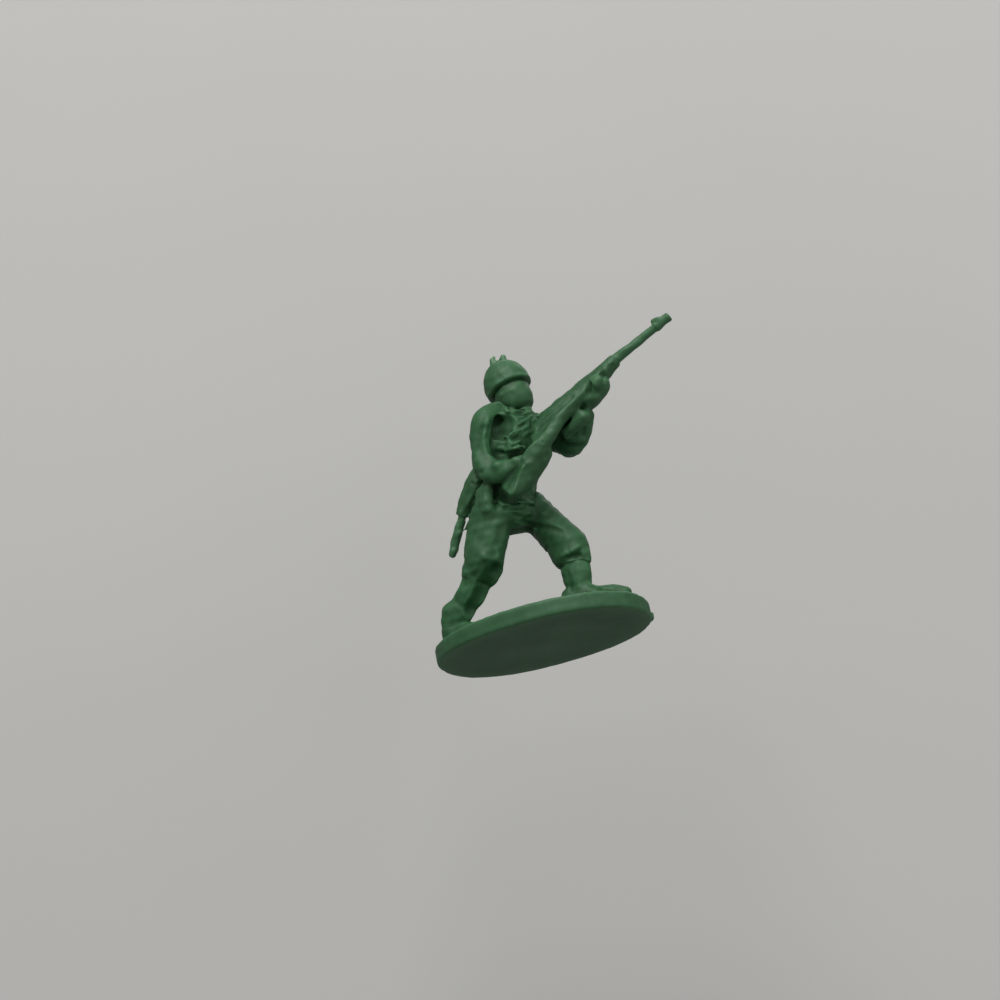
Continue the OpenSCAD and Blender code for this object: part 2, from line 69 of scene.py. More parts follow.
# From the base's centre back to the camera.
behind = Vector((math.sin(yaw) * math.cos(below), -math.cos(yaw) * math.cos(below),
                 -math.sin(below)))
eye = DISTANCE * behind
across = (-behind).cross(Vector((0, 0, 1))).normalized()
upward = across.cross(-behind)
across, upward = (math.cos(roll) * across - math.sin(roll) * upward,
                  math.sin(roll) * across + math.cos(roll) * upward)
aim = -FOCAL * behind + (MIDDLE - BASE_X) * across + (BASE_Y - MIDDLE) * upward
toward = aim.normalized()
right = (across - across.dot(toward) * toward).normalized()
top = right.cross(toward)

lens = bpy.data.cameras.new("camera")
lens.lens = FOCAL / PICTURE * lens.sensor_width
lens.clip_start, lens.clip_end = 0.001, 10
camera = bpy.data.objects.new("camera", lens)
bpy.context.scene.collection.objects.link(camera)
camera.matrix_world = Matrix.Translation(eye * MM) @ Matrix(
    (right, top, -toward)).transposed().to_4x4()
bpy.context.scene.camera = camera
print("lens", lens.lens, "mm")

# %% [markdown]
# ## Clay from the solids
# A level set is a lattice of numbers that say how far each point is from the
# surface, with inside below zero. Two surfaces blend when their fields blend,
# and a rounded fillet is only a softer minimum. Each solid becomes one such
# field. Blurring it melts the CAD facets and the sharp arrises, more on broad
# cloth than on the rifle, whose edges the mould kept crisper. The lattice step
# is 0.06 mm, and the field counts distances only up to FAR, eight steps away.

# %% Clay
STEP = 0.06
BAND = 8
FAR = STEP * BAND
BLUR_TAIL = 2.5


class Clay:
    """A block of the lattice: its lowest cell and its distances in millimetres."""

    def __init__(self, low, cells):
        self.low, self.cells = np.array(low), cells

    @property
    def high(self):
        return self.low + self.cells.shape

    def meets(self, low, high):
        """Whether it shares any cell with the block from low to high."""
        return (np.minimum(high, self.high) > np.maximum(low, self.low)).all()

    def cut(self, low, high, outside=FAR):
        """The same field on another block, with outside where this one has nothing."""
        block = np.full(tuple(np.array(high) - low), outside, np.float32)
        a, b = np.maximum(low, self.low), np.minimum(high, self.high)
        if self.meets(low, high):
            here = tuple(slice(*r) for r in zip(a - low, b - low))
            there = tuple(slice(*r) for r in zip(a - self.low, b - self.low))
            block[here] = self.cells[there]
        return block


def solid_clay(node):
    """A CAD node's solid as clay."""
    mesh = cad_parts[node].data
    mesh.calc_loop_triangles()
    corners = np.empty(len(mesh.vertices) * 3, np.float32)
    mesh.vertices.foreach_get("co", corners)
    faces = np.empty(len(mesh.loop_triangles) * 3, np.int32)
    mesh.loop_triangles.foreach_get("vertices", faces)
    grid = openvdb.FloatGrid.createLevelSetFromPolygons(
        corners.reshape(-1, 3) / MM, triangles=faces.reshape(-1, 3).astype(np.uint32),
        transform=openvdb.createLinearTransform(voxelSize=STEP), halfWidth=float(BAND))
    low, high = grid.evalActiveVoxelBoundingBox()
    cells = np.empty([h - l + 1 for l, h in zip(low, high)], np.float32)
    grid.copyToArray(cells, ijk=low)
    return Clay(low, cells)


def melt(cells, reach):
    """The field blurred over reach millimetres."""
    if not reach:
        return cells
    spread = reach / STEP
    half = int(math.ceil(BLUR_TAIL * spread))
    weights = np.exp(-0.5 * (np.arange(-half, half + 1) / spread) ** 2)
    weights = (weights / weights.sum()).astype(np.float32)
    for axis in range(3):
        margins = [(half, half) if a == axis else (0, 0) for a in range(3)]
        wide = np.pad(cells, margins, "edge")
        length = cells.shape[axis]
        cells = sum(w * np.take(wide, range(i, i + length), axis)
                    for i, w in enumerate(weights))
    return cells


# Each solid's melting reach in millimetres, then the radius of the fillet where
# it meets what came before it in the list. A fillet here stays below FAR, because
# the fields tell no greater distance, and a wider one would swell all the figure.
SOFTNESS = {
    "jacket": (0.22, 0.3), "sleeve_right": (0.2, 0.45), "sleeve_left": (0.2, 0.4),
    "trousers": (0.24, 0.25), "gaiter_right": (0.16, 0.45), "gaiter_left": (0.16, 0.3),
    "belt": (0, 0.1), "strap_right": (0, 0.1), "strap_left": (0, 0.1),
    "chest_pouches": (0, 0.12), "neck": (0.06, 0.3), "head": (0.2, 0.12),
    "helmet": (0.12, 0.05), "moulding_flash": (0, 0.1), "hand_right": (0.08, 0.15),
    "hand_left": (0.1, 0.15), "rifle_stock": (0.07, 0.1), "rifle_handguard": (0.05, 0.12),
    "rifle_barrel": (0.05, 0.1), "rifle_gas_cylinder": (0, 0.1), "front_sight": (0, 0.15),
    "canteen": (0.08, 0.15), "tool_cover": (0.1, 0.15), "tool_handle": (0.1, 0.15),
    "boot_right": (0.1, 0.2), "boot_left": (0.1, 0.3), "base": (0.08, 0.4),
}
clay = {}
for node, (reach, fillet) in SOFTNESS.items():
    clay[node] = solid_clay(node)
    clay[node].cells = melt(clay[node].cells, reach)
print("clay cells:", sum(c.cells.size for c in clay.values()))

# %% [markdown]
# ## Marks in the clay
# The mould maker cut folds, flaps and fingers with a few strokes each. A mark
# is such a stroke: a line on the surface that lifts the clay (or, with a height
# below zero, presses it in) and fades out at its width. A lump lays a round cord
# of clay along a line and a scoop takes one away, for what is deeper than a fold.
# Most strokes are placed where the camera sees them, as x, y pairs in the picture.
# A ray from the camera finds the solid under each point, so a stroke always lies
# on what carries it. Every such stroke has a name, then its height and width or
# its radius in millimetres, then its places.

# %% Marks
def solids_tree():
    """All the solids as one tree that rays can be cast at, in millimetres."""
    corners, faces = [], []
    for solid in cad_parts.values():
        faces += [[corner + len(corners) for corner in face.vertices]
                  for face in solid.data.polygons]
        corners += [vertex.co / MM for vertex in solid.data.vertices]
    return BVHTree.FromPolygons(corners, faces)


everything = solids_tree()
marks, cords = [], []


def seen(name, places, deeper=0):
    """The points of the solids that the camera sees at x, y pairs in the picture."""
    points = []
    for x, y in zip(places[::2], places[1::2]):
        ray = (FOCAL * toward + (x - MIDDLE) * right + (MIDDLE - y) * top).normalized()
        hit = everything.ray_cast(eye, ray)[0]
        if hit:
            points.append(np.array(hit + deeper * ray))
        else:
            print(f"{name}: no solid is seen at {x}, {y}")
    return points


# %% [markdown]
# ## Lines and cells
# A stroke is given by a few points, so a smooth curve is led through them first.
# A curve object could do that, but a few lines of arithmetic give its points
# straight away. Then each cell near the curve gets its distance to it, which is
# all that a mark or a cord needs.

# %% Lines and cells
def flowing(points, steps=6):
    """A smooth line through the points, in short steps from each to the next."""
    points = [np.array(p, float) for p in points]
    if len(points) < 2:
        return points
    ends = [2 * points[0] - points[1], *points, 2 * points[-1] - points[-2]]
    line = []
    for a, b, c, d in zip(ends, ends[1:], ends[2:], ends[3:]):
        for t in np.arange(steps) / steps:
            line.append(0.5 * (2 * b + (c - a) * t + (2 * a - 5 * b + 4 * c - d) * t * t
                               + (3 * b - a - 3 * c + d) * t ** 3))
    return line + [points[-1]]


# In square millimetres: more than any cell's distance, and less than any length.
BEYOND = 1e6
SHORTEST = 1e-9


def around(points, reach):
    """A block of the lattice round a smooth line, and how far its cells are from the line."""
    line = flowing(points)
    low = np.floor((np.min(line, 0) - reach) / STEP).astype(int)
    high = np.ceil((np.max(line, 0) + reach) / STEP).astype(int)
    axes = [np.arange(l, h, dtype=np.float32) * STEP for l, h in zip(low, high)]
    near = np.full([len(a) for a in axes], BEYOND, np.float32)
    for a, b in zip(line, line[1:] or line):
        run = b - a
        flat = [g - o for g, o in zip(np.meshgrid(*axes, indexing="ij", sparse=True), a)]
        length = max(float(run @ run), SHORTEST)
        t = np.clip(sum(f * r for f, r in zip(flat, run)) / length, 0, 1)
        near = np.minimum(near, sum((f - t * r) ** 2 for f, r in zip(flat, run)))
    return low, np.sqrt(near).astype(np.float32)


# %% [markdown]
# ## Strokes
# A mark's height falls off like a bell, or like a bell with a flat top where it
# has a steep edge. Marks add up, so their order doesn't matter. Cords join the
# skin one after another, and a later one can cut into an earlier one.

# %% Strokes
# How many widths away a mark has faded out, for a soft edge and a steep one.
SOFT, STEEP = 2, 4
FADED = {SOFT: 2.4, STEEP: 1.6}


def mark_at(height, width, *points, edge=SOFT):
    """A stroke along points of the frame in millimetres."""
    if not points:
        return
    low, far = around(points, width * FADED[edge])
    marks.append(Clay(low, height * np.exp(-(far / width) ** edge)))


def mark(name, height, width, *places, edge=SOFT):
    """A stroke laid where the camera sees it."""
    mark_at(height, width, *seen(name, places), edge=edge)


def lump_at(radius, *points, fillet, sign=1):
    """A round cord of clay along points of the frame, added or, with sign -1, taken away."""
    if not points:
        return
    low, far = around(points, radius + FAR)
    cords.append((Clay(low, np.minimum(far - radius, FAR)), fillet, sign))


def lump(name, radius, *places, deeper=0.0, fillet=0.1):
    """A cord laid where the camera sees it, sunk by deeper millimetres."""
    lump_at(radius, *seen(name, places, deeper), fillet=fillet)


def scoop(name, radius, *places, deeper=0.0, fillet=0.15):
    """A cord taken away where the camera sees it."""
    lump_at(radius, *seen(name, places, deeper), fillet=fillet, sign=-1)


SIDES = {"left": (0, 1, 0), "back": (-1, 0, 0)}
# Millimetres from the figure's middle to where a ray at it starts.
OUTSIDE = 40


def mark_on(name, side, height, width, *places):
    """A stroke on a side that the camera doesn't see, as pairs of mm along it and up."""
    outward = Vector(SIDES[side])
    points = []
    for along, up in zip(places[::2], places[1::2]):
        inside = Vector((along, 0, up) if outward.x == 0 else (0, along, up))
        hit = everything.ray_cast(inside + OUTSIDE * outward, -outward)[0]
        if hit:
            points.append(np.array(hit))
        else:
            print(f"{name}: no solid at {along}, {up}")
    mark_at(height, width, *points)


# %% [markdown]
# ## One skin
# On the real figure all the pieces are one shot of plastic, so here the fields
# become one skin. It is the soft union of all the clay and the lumps, less the
# scoops, raised or pressed by the marks, with a faint waviness, since no moulded
# figure is perfectly fair. Remeshing joined meshes would give a skin as well,
# but not a fillet of a chosen radius at each join, which a blend of fields does.

# %% Skin
def blend(a, b, radius):
    """The nearer of two surfaces, with a fillet of about radius between them."""
    soft = np.maximum(radius - np.abs(a - b), 0)
    return np.minimum(a, b) - soft * soft / (4 * radius)


# Waves of growing pitch, in radians per millimetre. Up to CALM millimetres above
# the table they are fainter, and at the underside a tenth of their height.
WAVE_SEED = 7
WAVE_COUNT = 14
PITCH, PITCH_STEP = 3, 0.55
CALM, CALMEST = 1.6, 0.1
WAVE_HEIGHT = 0.02
LAST_MELT = 0.06
TURN = 6.28
waves = np.random.default_rng(WAVE_SEED)
WAVES = [(waves.normal(size=3), waves.uniform(0, TURN)) for _ in range(WAVE_COUNT)]


def waviness(low, shape):
    """A smooth random field of about one over a millimetre or so, faint on the base."""
    axes = [(np.arange(l, l + n, dtype=np.float32) * STEP) for l, n in zip(low, shape)]
    x, y, z = np.meshgrid(*axes, indexing="ij", sparse=True)
    total = 0
    for k, (turn, phase) in enumerate(WAVES):
        kx, ky, kz = turn / np.linalg.norm(turn) * (PITCH + PITCH_STEP * k)
        total = total + np.sin(kx * x + ky * y + kz * z + phase)
    return total / len(WAVES) ** 0.5 * np.clip(z / CALM, CALMEST, 1)


def skin(low, high):
    """The whole figure's field on one block."""
    total = np.full(tuple(high - low), FAR, np.float32)
    for node, (reach, fillet) in SOFTNESS.items():
        if clay[node].meets(low, high):
            total = blend(total, clay[node].cut(low, high), fillet)
    for cord, fillet, sign in cords:
        if cord.meets(low, high):
            total = sign * blend(sign * total, cord.cut(low, high), fillet)
    for stroke in marks:
        if stroke.meets(low, high):
            total = total - stroke.cut(low, high, 0)
    ripple = WAVE_HEIGHT * waviness(low, total.shape).astype(np.float32)
    return melt(total - ripple, LAST_MELT)


# %% [markdown]
# ## Reading the skin
# A mesh's points lie between the cells, so the field there is a mean of the
# eight cells round each. And where a piece is cut from the skin, crumbs of it
# can be left beyond a neighbour. They are found by spreading the lowest number
# along the edges until each lump has one, which needs no edit mode.

# %% Reading the skin
def sample(cells, at):
    """The field at places that are given in cells."""
    last = np.array(cells.shape) - 1.001
    at = np.clip(at, 0, last)
    base = np.floor(at).astype(int)
    part = (at - base).astype(np.float32)
    total = 0
    for corner in np.ndindex(2, 2, 2):
        share = 1
        for axis, further in enumerate(corner):
            share = share * (part[:, axis] if further else 1 - part[:, axis])
        total = total + share * cells[tuple((base + corner).T)]
    return total


CRUMB = 50


def biggest_lumps(points, quads):
    """Drops crumbs of clay smaller than a fiftieth of the piece."""
    label = np.arange(len(points))
    pairs = np.concatenate([quads[:, [0, 1]], quads[:, [1, 2]], quads[:, [2, 3]]])
    while True:
        lowest = np.minimum(label[pairs[:, 0]], label[pairs[:, 1]])
        new = label.copy()
        np.minimum.at(new, pairs[:, 0], lowest)
        np.minimum.at(new, pairs[:, 1], lowest)
        new = new[new]
        if (new == label).all():
            break
        label = new
    count = np.bincount(label[quads[:, 0]], minlength=len(points))
    keep = count[label[quads[:, 0]]] * CRUMB > len(quads)
    quads = quads[keep]
    used = np.unique(quads)
    order = np.full(len(points), -1)
    order[used] = np.arange(len(used))
    return points[used], order[quads]


# %% [markdown]
# ## Pieces
# The library wants separate pieces again. A piece is the part of the skin that
# is nearer to its own solid than to any other. At its rim it goes on for a short
# lip and dives just under its neighbour, so that a join shows only as the valley
# that the mould has. Each piece also stores two tones for its finish, which come
# from the difference between the skin and a blurred copy of it: a narrow blur
# for crests and a wide one for hollows. A tone is a half where the skin is flat,
# more on a crest and less in a valley.

# %% Pieces
LIP = 0.06
DIVE = 0.9
# The finish turns these tones into a painted highlight on crests and painted shade in valleys
# and hollows.
# The blur's reach, and the difference that spans a tone from 0 to 1.
TONES = {"crest": (0.24, 0.12), "hollow": (0.6, 0.5)}


def cast(name, nodes, finish):
    """Cuts one piece out of the skin, meshes it and hands it to the frame."""
    low = np.min([clay[n].low for n in nodes], 0)
    high = np.max([clay[n].high for n in nodes], 0)
    own = np.min([clay[n].cut(low, high) for n in nodes], 0)
    rest = np.full(own.shape, FAR, np.float32)
    for node, other in clay.items():
        if node not in nodes and other.meets(low, high):
            rest = np.minimum(rest, other.cut(low, high))
    whole = skin(low, high)
    side = (own - rest) / 2
    cells = np.maximum(whole + DIVE * np.maximum(side, 0), side - LIP)
    grid = openvdb.FloatGrid(FAR)
    grid.copyFromArray(cells.astype(np.float32), ijk=tuple(int(v) for v in low), tolerance=0)
    grid.transform = openvdb.createLinearTransform(voxelSize=STEP)
    points, quads = grid.convertToQuads()
    points, quads = biggest_lumps(points, quads[:, ::-1].astype(int))
    mesh = bpy.data.meshes.new(name)
    mesh.vertices.add(len(points))
    mesh.vertices.foreach_set("co", (points * MM).astype(np.float32).ravel())
    mesh.loops.add(quads.size)
    mesh.loops.foreach_set("vertex_index", quads.ravel().astype(np.int32))
    mesh.polygons.add(len(quads))
    mesh.polygons.foreach_set("loop_start", np.arange(0, quads.size, 4, dtype=np.int32))
    mesh.update(calc_edges=True)
    mesh.polygons.foreach_set("use_smooth", np.ones(len(quads), bool))
    for tone, (reach, span) in TONES.items():
        bend = sample(melt(whole, reach) - whole, points / STEP - low)
        mesh.attributes.new(tone, "FLOAT", "POINT").data.foreach_set(
            "value", np.clip(0.5 + bend / span, 0, 1).astype(np.float32))
    piece = bpy.data.objects.new(name, mesh)
    bpy.context.scene.collection.objects.link(piece)
    mesh.materials.append(finish)
    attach(piece, "root")
    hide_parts(*nodes)
    print(f"{name}: {len(quads)} faces")


# %% [markdown]
# ## Helmet, head and collar
# The helmet is a plain dome. Its rim stands out a little over a groove, and the
# head under it is a bare ball: at this size the maker gave it no face. Two
# slivers of flash stand on the crown, joined by a low web. The jacket's
# collar is a small step beside the neck, above a deep shadow. The dome itself
# is in the solid, and strokes add its edge, the flash and the shadows.

# %% Helmet, head and collar
mark("lit edge of the rim", 0.05, 0.14,
     491, 399, 495, 394, 503, 386, 511, 379, 520, 376, 530, 376)
mark("groove under the rim", -0.05, 0.12,
     494, 402, 498, 397, 506, 389, 514, 382, 522, 379.5, 530, 379.5)
FLASH_TALL = ((0.35, 0, 24.6), (0.5, 0, 25.04))
FLASH_WEB = ((0.4, 0, 24.6), (0.85, 0, 24.5), (1.25, 0, 24.75))
lump_at(0.14, *FLASH_TALL, fillet=0.2)
lump_at(0.13, *FLASH_WEB, fillet=0.25)
mark("small bump on the dome", 0.05, 0.12, 500, 373)
mark("second small bump", 0.05, 0.1, 504, 376)
mark("head, under the rim", 0.05, 0.3, 514, 390)
mark("head, low hollow", -0.06, 0.7, 520, 404)
scoop("shadow under the chin", 0.3, 510, 409, 516, 412, 523, 412, deeper=0.1)
mark("edge of the collar", 0.14, 0.14, 496, 403, 500, 403, 504, 407, 508, 411)
mark("hollow below the collar", -0.3, 0.3, 508, 416, 512, 420, 514, 424)
mark_on("rim at the back", "back", 0.08, 0.2, -1.6, 20.9, -0.3, 20.8, 1, 20.9, 1.7, 21.1)
mark_on("rim on the left", "left", 0.08, 0.2, -0.8, 20.9, 0.6, 21.4, 2.4, 22.2)
print("marks so far:", len(marks))

# %% [markdown]
# ## Chest
# Between the right arm and the rifle lies the busiest part of the figure: a
# deep hollow by the arm, webbing drawn as short ribs that rise to the right,
# a square pouch with a flap and two small studs, and ledges below. The straps
# of the solid lie under all of this. Most of the ribs are thin cords of clay,
# because a cord keeps its height where a mark would spread.

# %% Chest
scoop("hollow by the arm, top", 0.65, 501, 422, 499.5, 431, deeper=0.1)
scoop("hollow by the arm, front", 0.5, 508, 421, 506.5, 430, deeper=0.1)
scoop("hollow by the arm, deep seam", 0.45, 497, 420, 495.5, 428, 495.5, 435, deeper=0.5)
scoop("seam down the arm", 0.3, 494.5, 435, 493.5, 446, 495, 456, deeper=0.1)
scoop("cut across the side", 0.2, 499, 438.5, 504, 439)
mark("ledge above the cut", 0.12, 0.14, 499, 435.5, 504, 436)
mark("bent rib below the cut", 0.14, 0.15, 498, 442, 497.5, 448, 502, 448.5, 507, 450)
scoop("groove under the bent rib", 0.13, 495, 453, 500, 453.5, 503, 453)
lump("upper rib of webbing", 0.1, 517, 416, 524, 413.5, 531, 412, 536, 414)
scoop("groove under the upper rib", 0.13, 521, 419, 527, 417, 532, 416.5)
lump("middle rib of webbing", 0.09, 516, 426, 521, 423.5, 527, 419, 532, 416)
scoop("groove under the middle rib", 0.1, 513, 429, 519, 427.5, 525, 424)
lump("pouch, upper edge", 0.09, 508.5, 438, 510, 434, 514, 432, 520, 430)
lump("pouch, edge by the arm", 0.1, 508.5, 438, 508.5, 444, 509.5, 449, deeper=0.05)
lump("short rib by the rifle", 0.08, 523, 429, 527, 427)
scoop("pouch, hollow of the flap", 0.26, 513.5, 439, 518, 437, deeper=-0.02)
lump("pouch, stud", 0.09, 514.5, 438.5, deeper=0.08)
lump("pouch, second stud", 0.1, 520.5, 441, deeper=0.02)
mark("ledge by the rifle", 0.1, 0.12, 524, 436, 528, 433)
scoop("groove under the flap", 0.15, 512, 448, 518, 445.5, 524, 441)
mark("ledge below the flap", 0.14, 0.13, 510, 450, 515, 448.5, 520, 446)
scoop("lowest groove", 0.13, 511, 457, 517, 453, 523, 449)
print("marks so far:", len(marks), "cords:", len(cords))

# %% [markdown]
# ## Arms and hands
# A crease with a lit crest runs down the front of the right sleeve and turns at
# the elbow. The hand on the small of the stock is three knuckles. Slack cloth
# hangs from the left sleeve in a triangle, with folds that fan out from the
# cuff, and a mitten of a hand wraps the forestock. Two cords fill the triangle's
# lower edge and its corner at the cuff, and marks draw the folds.

# %% Arms and hands
mark("right sleeve, lit crest", 0.12, 0.3,
     488, 418, 487, 424, 484.5, 433, 485, 442, 486, 451, 491, 459)
mark("right sleeve, crease by the crest", -0.14, 0.28, 492, 424, 489.5, 434, 489, 444, 492, 454)
mark("right sleeve, shoulder", 0.08, 0.3, 487, 423)
mark("right sleeve, flat back", -0.08, 0.35, 478, 436, 477, 446)
mark("right elbow", 0.06, 0.35, 476, 455, 480, 466)
mark("crease under the forearm", -0.1, 0.2, 482, 472, 488, 478, 496, 481)
mark("crease on the upper arm", -0.1, 0.22, 482, 428, 480, 434)
lump("first knuckle", 0.4, 498, 466.5, deeper=0.08, fillet=0.3)
lump("second knuckle", 0.38, 507, 465, deeper=0.08, fillet=0.3)
lump("third knuckle", 0.4, 516.5, 462, deeper=0.1, fillet=0.3)
lump("right cuff and heel of the hand", 0.5,
     488, 475, 495, 477, 502, 475, 510, 469, deeper=0.3, fillet=0.5)
SLACK_EDGE = ((5.7, -0.9, 16.2), (6.5, -1.05, 16.5), (7.35, -1.15, 16.9))
SLACK_CORNER = ((7.3, -0.5, 17.9), (7.7, -0.5, 18.5))
lump_at(0.5, *SLACK_EDGE, fillet=0.5)
lump_at(0.5, *SLACK_CORNER, fillet=0.4)
mark("slack cloth, lower fold", 0.2, 0.22, 566, 438, 572, 439.5, 578, 439, 583, 438.5)
mark("slack cloth, under the lower fold", -0.26, 0.2, 566, 445, 572, 445.5, 583, 445)
mark("slack cloth, fold from the cuff", 0.16, 0.14,
     583.5, 414, 583, 424, 579.5, 430, 578.5, 436)
mark("slack cloth, inner crease", -0.14, 0.18, 570, 433.5, 575, 431)
mark("left cuff", 0.14, 0.2, 586, 400, 588, 407, 588, 414)
mark("crease behind the cuff", -0.14, 0.14, 583, 404, 581, 412)
mark("slack cloth, front crease", -0.14, 0.14, 584.5, 428, 583.5, 436)
mark("left hand, knuckle", 0.2, 0.24, 595, 384, 598, 379)
mark("left hand, finger over the stock", 0.2, 0.2, 605, 369, 607, 375)
mark("left hand, gap by the finger", -0.2, 0.12, 601.5, 374, 604, 381)
mark("left hand, gap at the wrist", -0.24, 0.2, 588.5, 391, 590, 385)
mark("left hand, palm", -0.12, 0.3, 598, 391, 603, 387)
mark("left hand, heel", 0.12, 0.3, 590, 399, 597, 398)
mark_on("left sleeve, fold", "left", 0.14, 0.25, 1.6, 17.3, 2.6, 16.6, 3.4, 16.9)
mark_on("left sleeve, crease", "left", -0.12, 0.2, 2, 16.4, 3.2, 15.8, 4.2, 16.1)
mark_on("left forearm, fold", "left", 0.12, 0.22, 3.6, 15.4, 4.8, 15, 5.8, 15.6)
mark_on("left forearm, crease", "left", -0.1, 0.2, 5.4, 16.4, 6.2, 16.9)
mark_on("right sleeve's back, fold", "back", 0.1, 0.25, -3.2, 17.6, -2.7, 16.6, -2.9, 15.6)
mark_on("right elbow's back, crease", "back", -0.12, 0.2, -3.4, 15.4, -2.9, 14.8, -2.4, 15)
print("marks so far:", len(marks))

# %% [markdown]
# ## Rifle
# The upper edge of the stock catches the light, and a groove runs under it from
# the receiver towards the left hand. The receiver ends in a step, a raised band
# lies in front of the hand, and the butt has one long lit edge and a lit end.
# The rifle's solids are melted least, so shallow marks are enough for its edges.

# %% Rifle
mark("stock, upper edge", 0.1, 0.12, 537, 421.7, 547, 414, 558, 404, 566, 398, 575, 391.7)
mark("stock, groove under the edge", -0.1, 0.16, 540, 427, 550, 417.5, 561, 407.5, 572, 397.5)
mark("stock, raised side", 0.05, 0.18, 541, 436, 551, 424, 563, 411.5, 574, 401, 585, 389.5)
mark("stock, lower edge by the arm", -0.25, 0.4, 554, 446, 561, 434, 570, 421)
mark("step behind the receiver", -0.22, 0.1, 531.5, 422, 531.7, 428, 532, 434)
mark("end of the receiver", 0.08, 0.14, 535, 419, 535, 427, 536, 434)
mark("notch under the receiver", -0.1, 0.14, 538, 441.5, 543, 442)
mark("wrist of the stock, edge", 0.16, 0.14, 536.5, 441.5, 530.5, 447, 525, 454, 523, 459)
mark("wrist of the stock, side", -0.08, 0.2, 538, 446, 532, 453, 528, 460)
mark("butt, long edge", 0.14, 0.14, 523, 467, 518.5, 477, 515.5, 487, 513, 493)
mark("butt, side", -0.06, 0.3, 527, 467, 522, 480, 519, 489)
mark("butt, end edge", 0.08, 0.12, 500.5, 486, 506, 490.5, 511.5, 494.5)
mark("butt, dimple", -0.06, 0.3, 507, 486)
mark("band", 0.1, 0.12, 610, 364, 611.5, 362)
mark("groove by the band", -0.1, 0.1, 612.5, 366, 610.5, 359)
mark("bump on the barrel", 0.06, 0.1, 617, 357.5)
mark("dip in the barrel", -0.05, 0.1, 640, 339, 642, 337)
lump("foot of the front sight", 0.2, 650, 325, 653.5, 322, 658, 319.5, deeper=0.1, fillet=0.25)
mark_on("stock's left, groove", "left", -0.08, 0.14, 4.4, 17.9, 7, 19.1, 9.6, 20.2)
mark_on("stock's left, edge", "left", 0.08, 0.12, 3.6, 18.4, 6, 19.4, 8.6, 20.5)
print("marks so far:", len(marks))

# %% [markdown]
# ## Belt and kit
# The belt shows as a worn crest on the right of the belly. The canteen is a
# plain peg. The entrenching tool's cover has a knotty top, a rib down its side
# and a loop at its foot, and its handle swells into a lump at the end. Marks cut
# these small forms, and cords fill out what the plain solids leave too thin.

# %% Belt and kit
lump("belt, worn crest", 0.13, 513, 501, 520, 502, 527, 502.5, 534, 503, deeper=-0.05)
mark("belt, end by the canteen", 0.16, 0.2, 500, 503, 504, 505.5)
mark("belt, short lit part", 0.12, 0.14, 507, 505, 509, 503.5)
mark("shadow under the belt", -0.2, 0.15, 505, 508, 513, 507.5, 524, 507)
mark("shadow above the belt", -0.3, 0.3, 503, 496, 509, 499.5, 516, 498)
mark("top of the canteen", 0.1, 0.25, 488.3, 488)
mark("groove behind the canteen", -0.1, 0.14, 482, 492, 481.5, 500, 481, 508)
mark("groove before the canteen", -0.2, 0.14, 496, 487, 496, 498, 496.5, 507)
lump("canteen, back filled out", 0.3, 480.5, 492, 480.5, 501, 481, 510, deeper=0.75, fillet=0.5)
lump("canteen, foot", 0.4, 489, 511, 489, 514, deeper=0.4, fillet=0.4)
lump("tool cover, body", 0.4, 477, 484, 477, 492, 475, 500, deeper=0.35, fillet=0.5)
mark("tool cover, rib", 0.12, 0.15, 474, 490, 470.5, 497, 467, 504)
mark("tool cover, knot", 0.14, 0.14, 477, 476, 476.5, 482)
mark("tool cover, cut under the knot", -0.16, 0.12, 473, 483, 476, 485.5)
mark("tool cover, edge", 0.1, 0.14, 476, 486, 476, 491)
mark("tool cover, groove by the rib", -0.12, 0.16, 475, 497, 471, 506, 467, 514)
mark("handle, lit edge", 0.1, 0.12, 460.5, 512, 458.5, 518, 457, 525)
mark("loop at the cover's foot", 0.18, 0.16, 469.5, 516)
mark("gap in the loop", -0.12, 0.12, 464.5, 514, 466.5, 510)
mark("handle, knot", 0.12, 0.16, 457, 527, 455, 533)
mark("handle, dip above its end", -0.08, 0.2, 454.5, 540, 453.5, 546)
mark("handle, end", 0.14, 0.3, 453, 552, 452.5, 556)
mark_on("belt on the left", "left", 0.12, 0.14, -1.6, 12.1, 0, 12, 1.2, 12)
mark_on("belt at the back", "back", 0.12, 0.13, -1.5, 12.3, 0, 12.2, 1.6, 12)
mark_on("groove under the belt at the back", "back", -0.16, 0.12,
        -1.5, 11.8, 0, 11.7, 1.6, 11.5)
print("marks so far:", len(marks))

# %% [markdown]
# ## Trousers, gaiters and boots
# The trousers are broad planes that break at the hip and behind the knees. The
# rear knee overhangs its shin, which falls away into deep shade, and the front
# leg has one long fold along the thigh and a crease where the gaiter starts.
# Marks draw the folds. Cords make the calf, the heel and the hollow under the
# knee, which are deeper than a mark can go without a jagged edge.

# %% Trousers, gaiters and boots
mark("rear knee", 0.06, 0.5, 484, 557)
mark("rear knee, small crest", 0.08, 0.2, 483, 556, 486, 559)
mark("crease under the rear knee", -0.14, 0.3, 475, 575, 481, 567, 490, 564.5, 496, 566)
scoop("hollow under the rear knee", 0.6,
      497, 571, 491, 578, 486, 588, 479, 599, 474, 608, deeper=0.2, fillet=0.4)
mark("rear shin, cut back", -0.35, 0.6, 489, 574, 486, 583, 482, 592, edge=STEEP)
mark("rear ankle, cut back", -0.38, 0.5, 480, 598, 475, 605, 471, 612, edge=STEEP)
lump("rear calf", 0.5, 470, 572, 469, 582, 466, 592, deeper=0.7, fillet=0.6)
lump("rear heel", 0.7, 452, 612, 450.5, 620, 451, 630, deeper=0.8, fillet=0.5)
mark("rear knee, front edge", 0.08, 0.22, 497, 548, 498, 560, 497, 575)
mark("rear thigh, front", -0.08, 0.35, 500, 530, 497, 545)
